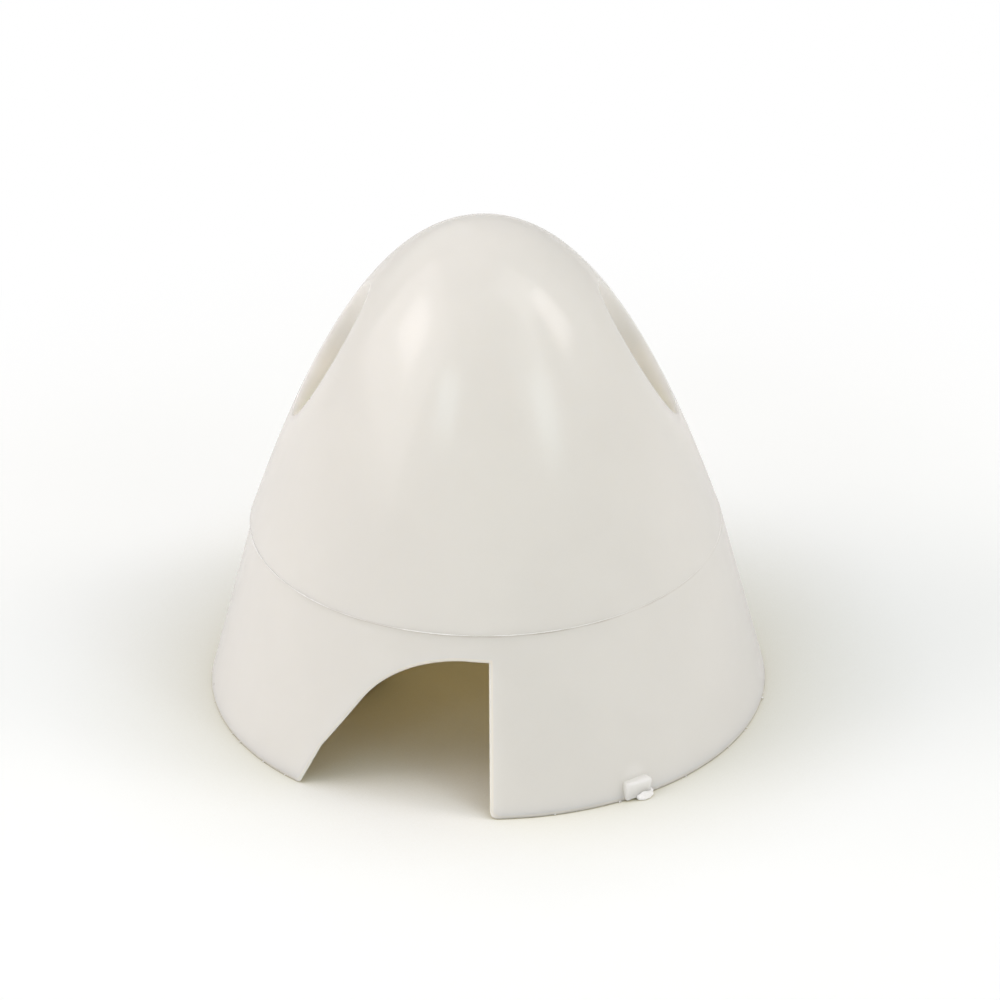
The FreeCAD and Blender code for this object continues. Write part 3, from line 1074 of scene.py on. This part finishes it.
def dirt_and_shade_share(nodes, sizes, finish, place):
    """Thin painted shade under the mould seam's step and along the foot of the rim, and a few specks of
    grime.
    """
    height = nodes.add("ShaderNodeSeparateXYZ", {"Vector": place}).outputs["Z"]
    seam = sizes.seam_height / MILLIMETRE
    # Painted shade in a thin band under the seam's step, strongest towards the side where the seam ridge is
    # thickest
    line = nodes.maths("MULTIPLY", nodes.ramp(height, seam - 0.24, seam - 0.12),
                       nodes.ramp(height, seam - 0.03, seam + 0.02, 1.0, 0.0))
    way = nodes.vector_maths("NORMALIZE", place).outputs[0]
    towards = nodes.vector_maths("DOT_PRODUCT", way, sky_way(sizes.flash_azimuth, 0)).outputs["Value"]
    line = nodes.maths("MULTIPLY", line, nodes.ramp(towards, -0.2, 0.75, 0.1, finish.seam_painted_shade))
    # Painted shade: a thin dark band at the foot of the rim, where it meets the floor
    rim = nodes.ramp(height, 0.06, 0.22, finish.rim_painted_shade, 0.0)
    patches = nodes.ramp(nodes.noise(place, 0.45, 3.0), 0.35, 0.62, 0.3, 1.0)
    dirt_and_shade_amount = nodes.maths("MULTIPLY", nodes.maths("MAXIMUM", line, rim), patches)
    # Dark specks of grime
    for azimuth, radius, level, size in SPECKS:
        centre = sky_way(math.radians(azimuth), 0) * radius + Vector((0, 0, level))
        away = nodes.vector_maths("DISTANCE", place, tuple(centre)).outputs["Value"]
        dirt_and_shade_amount = nodes.maths("MAXIMUM", dirt_and_shade_amount, nodes.ramp(away, size * 0.5, size, finish.speck_dirt, 0.0))
    return dirt_and_shade_amount


def well_share(nodes, sizes, place):
    """1 in the two screw wells and 0 elsewhere."""
    x, y, _ = nodes.add("ShaderNodeSeparateXYZ", {"Vector": place}).outputs
    shift = sizes.mould_shift / MILLIMETRE
    across = nodes.maths("ABSOLUTE", nodes.maths("ADD", x, shift))
    across = nodes.maths("SUBTRACT", across, sizes.screw_spacing / 2 / MILLIMETRE)
    squares = nodes.maths("ADD", nodes.maths("POWER", across, 2.0), nodes.maths("POWER", y, 2.0))
    radius = sizes.well_radius / MILLIMETRE
    return nodes.ramp(nodes.maths("SQRT", squares), radius + 0.01, radius + 0.08, 1.0, 0.0)


def mark_depth(piece, outer):
    """Notes for each point of the mesh how far it lies behind the outer skin, in millimetres."""
    count = len(piece.data.vertices)
    places = np.empty(count * 3)
    piece.data.vertices.foreach_get("co", places)
    x, y, z = places.reshape(count, 3).T
    skirt_depth = outer.skirt_radius(z) - np.hypot(x, y)
    radius = np.hypot(x - outer.shift, y)
    dome_depth = (outer.dome_height(radius) - z) / np.hypot(1, outer.dome_slope(radius))
    depth = np.where(z < outer.seam_height, skirt_depth, dome_depth)
    marks = piece.data.attributes.new(DEPTH, "FLOAT", "POINT")
    marks.data.foreach_set("value", np.clip(depth / MILLIMETRE, 0, 2))


def mark_edges(piece, sizes):
    """Notes for each point of the mesh how far it lies from the rim and the cut-outs, in millimetres."""
    outer = outer_skin(sizes)
    inner = inner_skin(sizes)
    small = sizes.edge_round
    corners = []
    for place in skirt_edge_rows(sizes, outer, inner)[2]:
        corners += [place, Vector((-place.x, -place.y, place.z))]
    tree = kdtree.KDTree(len(corners))
    for index, corner in enumerate(corners):
        tree.insert(corner, index)
    tree.balance()
    distances = [max(0, tree.find(corner.co)[2] - small) / MILLIMETRE for corner in piece.data.vertices]
    piece.data.attributes.new(EDGE_DISTANCE, "FLOAT", "POINT").data.foreach_set("value", distances)


def sky_way(azimuth, elevation):
    """Direction towards a place in the room, by azimuth from the front towards the right and by elevation."""
    return Vector((math.sin(azimuth) * math.cos(elevation), -math.cos(azimuth) * math.cos(elevation),
                   math.sin(elevation)))


LAMPS = (
    # name, azimuth and elevation in degrees, distance, width and height in metres, level, colour
    ("left_softbox", -82, 36, 1.0, 1.2, 0.8, 1.29, (1.0, 0.93, 0.95)),
    ("right_softbox", 86, 36, 1.0, 1.2, 0.8, 0.37, (1.0, 0.93, 0.93)),
    ("front_right_panel", 42, 34, 1.0, 0.5, 0.5, 0.81, (0.93, 0.95, 1.0)),
    ("front_low_panel", 0, 14, 1.0, 0.8, 0.35, 0.27, (0.93, 1.0, 0.93)),
    ("back_panel", -150, 26, 1.0, 0.8, 0.5, 0.3, (0.93, 1.0, 0.93)),
    ("high_right_panel", 70, 62, 1.0, 0.5, 0.5, 1.33, (1.0, 0.98, 0.99)),
    ("left_streak", -29, 31, 0.9, 0.22, 0.2, 2.5, (0.78, 0.93, 1.0)),
    ("right_streak", 44, 26.5, 0.9, 0.2, 0.24, 2.1, (0.78, 0.95, 1.0)),
    ("left_bulb", -78, 37, 0.9, 0.4, 0.28, 3.0, (1.0, 0.93, 0.93)),
    ("right_bulb", 84, 40, 0.9, 0.26, 0.36, 3.4, (1.0, 0.93, 0.93)),
)


def add_lamp(scene, name, azimuth, elevation, distance, width, height, level, tint):
    """A soft panel of light in the room, turned towards the spinner."""
    way = sky_way(math.radians(azimuth), math.radians(elevation))
    light = bpy.data.lights.new(name, "AREA")
    light.shape = "RECTANGLE"
    light.size = width
    light.size_y = height
    light.color = tint
    light.energy = level * math.pi * width * height
    lamp = bpy.data.objects.new(name, light)
    lamp.location = LIT_POINT + way * distance
    lamp.rotation_euler = way.to_track_quat("Z", "Y").to_euler()
    scene.collection.objects.link(lamp)


def add_glow(scene, name, place, radius, level, tint):
    """Soft light inside the plastic, in place of the light that comes in through the thin walls."""
    light = bpy.data.lights.new(name, "POINT")
    light.shadow_soft_size = radius
    light.color = tint
    light.energy = level * 4 * math.pi ** 2 * radius ** 2
    lamp = bpy.data.objects.new(name, light)
    lamp.location = place
    lamp.visible_camera = False
    lamp.visible_glossy = False
    scene.collection.objects.link(lamp)


class SPINNER_OT_stage(bpy.types.Operator):
    """Set up the floor, the lights and the camera"""

    bl_idname = "spinner.stage"
    bl_label = "Stage"

    def execute(self, context):
        scene = context.scene
        stage = scene.spinner_stage
        self.add_floor(scene, stage)
        self.add_surroundings(scene, stage)
        for lamp in LAMPS:
            add_lamp(scene, *lamp)
        add_glow(scene, "light_through_the_plastic", (0, 0, stage.glow_height), stage.glow_radius,
                 stage.glow_level, stage.glow_colour)
        well = scene.spinner_sizes.screw_spacing / 2
        for name, side, level in (("left_well_light", -well, stage.left_well_glow),
                                  ("right_well_light", well, stage.right_well_glow)):
            add_glow(scene, name, (side, 0, stage.well_glow_height), stage.well_glow_radius, level,
                     stage.well_glow_colour)
        self.add_camera(scene, stage)
        scene.view_settings.view_transform = "Standard"
        return {"FINISHED"}

    def add_floor(self, scene, stage):
        half = stage.floor_width / 2
        mesh = bmesh.new()
        corners = [mesh.verts.new((x * half, y * half, -stage.floor_gap))
                   for x, y in ((-1, -1), (1, -1), (1, 1), (-1, 1))]
        mesh.faces.new(corners)
        floor = mesh_object("floor", mesh)
        material = bpy.data.materials.new("pale_floor")
        material.use_nodes = True
        nodes = Nodes(material.node_tree)
        in_view = nodes.add("ShaderNodeLightPath").outputs["Is Camera Ray"]
        corner = nodes.add("ShaderNodeAmbientOcclusion", {"Distance": stage.contact_reach}, samples=6)
        seen = nodes.blend(corner.outputs["AO"], stage.contact_colour, stage.floor_seen)
        lighting = nodes.add("ShaderNodeBsdfDiffuse", {"Color": (*stage.floor_colour, 1)})
        viewed = nodes.add("ShaderNodeBsdfDiffuse", {"Color": seen})
        place = nodes.add("ShaderNodeTexCoord").outputs["Object"]
        away = nodes.vector_maths("LENGTH", place).outputs["Value"]
        far = nodes.ramp(away, stage.backdrop_start, stage.backdrop_end)
        white = nodes.add("ShaderNodeEmission", {"Color": (1, 1, 1, 1), "Strength": 1.0})
        viewed = nodes.add("ShaderNodeMixShader", {0: far, 1: viewed.outputs[0], 2: white.outputs[0]})
        both = nodes.add("ShaderNodeMixShader", {0: in_view, 1: lighting.outputs[0], 2: viewed.outputs[0]})
        surface = material.node_tree.nodes["Material Output"].inputs["Surface"]
        nodes.give(surface, both.outputs[0])
        floor.data.materials.append(material)

    def add_surroundings(self, scene, stage):
        world = bpy.data.worlds.new("room")
        world.use_nodes = True
        background = world.node_tree.nodes["Background"]
        background.inputs["Color"].default_value = (*stage.sky_colour, 1)
        background.inputs["Strength"].default_value = stage.sky_level
        scene.world = world

    def add_camera(self, scene, stage):
        tilt = stage.camera_tilt
        up = Vector((0, math.sin(tilt), math.cos(tilt)))
        back = Vector((0, -math.cos(tilt), math.sin(tilt)))
        right = Vector((1, 0, 0))
        roll = stage.camera_roll
        across = right * math.cos(roll) - up * math.sin(roll)
        upwards = right * math.sin(roll) + up * math.cos(roll)
        turn = Matrix((across, upwards, back)).transposed().to_4x4()
        aim = Vector((stage.aim_x, 0, stage.aim_height))
        lens = bpy.data.cameras.new("camera")
        lens.lens = stage.focal_length
        lens.clip_start = 0.01
        lens.clip_end = 10
        camera = bpy.data.objects.new("camera", lens)
        camera.matrix_world = Matrix.Translation(aim + back * stage.camera_distance) @ turn
        scene.collection.objects.link(camera)
        scene.camera = camera


class SPINNER_PT_panel(bpy.types.Panel):
    """Sidebar panel of the spinner"""

    bl_idname = "SPINNER_PT_panel"
    bl_label = "Propeller Spinner"
    bl_space_type = "VIEW_3D"
    bl_region_type = "UI"
    bl_category = "Spinner"

    def draw(self, context):
        layout = self.layout
        for operator in OPERATORS:
            layout.operator(operator.bl_idname)
        for group in (context.scene.spinner_sizes, context.scene.spinner_finish, context.scene.spinner_stage):
            box = layout.box()
            for name in group.__annotations__:
                box.prop(group, name)


OPERATORS = (SPINNER_OT_shell, SPINNER_OT_gate, SPINNER_OT_flash, SPINNER_OT_burrs, SPINNER_OT_stage)
CLASSES = (SpinnerSizes, SpinnerFinish, SpinnerStage, *OPERATORS, SPINNER_PT_panel)


def register():
    for entry in CLASSES:
        bpy.utils.register_class(entry)
    bpy.types.Scene.spinner_sizes = bpy.props.PointerProperty(type=SpinnerSizes)
    bpy.types.Scene.spinner_finish = bpy.props.PointerProperty(type=SpinnerFinish)
    bpy.types.Scene.spinner_stage = bpy.props.PointerProperty(type=SpinnerStage)


def unregister():
    del bpy.types.Scene.spinner_stage
    del bpy.types.Scene.spinner_finish
    del bpy.types.Scene.spinner_sizes
    for entry in reversed(CLASSES):
        bpy.utils.unregister_class(entry)


def main():
    register()
    bpy.ops.spinner.shell()
    bpy.ops.spinner.gate()
    bpy.ops.spinner.flash()
    bpy.ops.spinner.burrs()
    bpy.ops.spinner.stage()


if __name__ == "__main__":
    main()
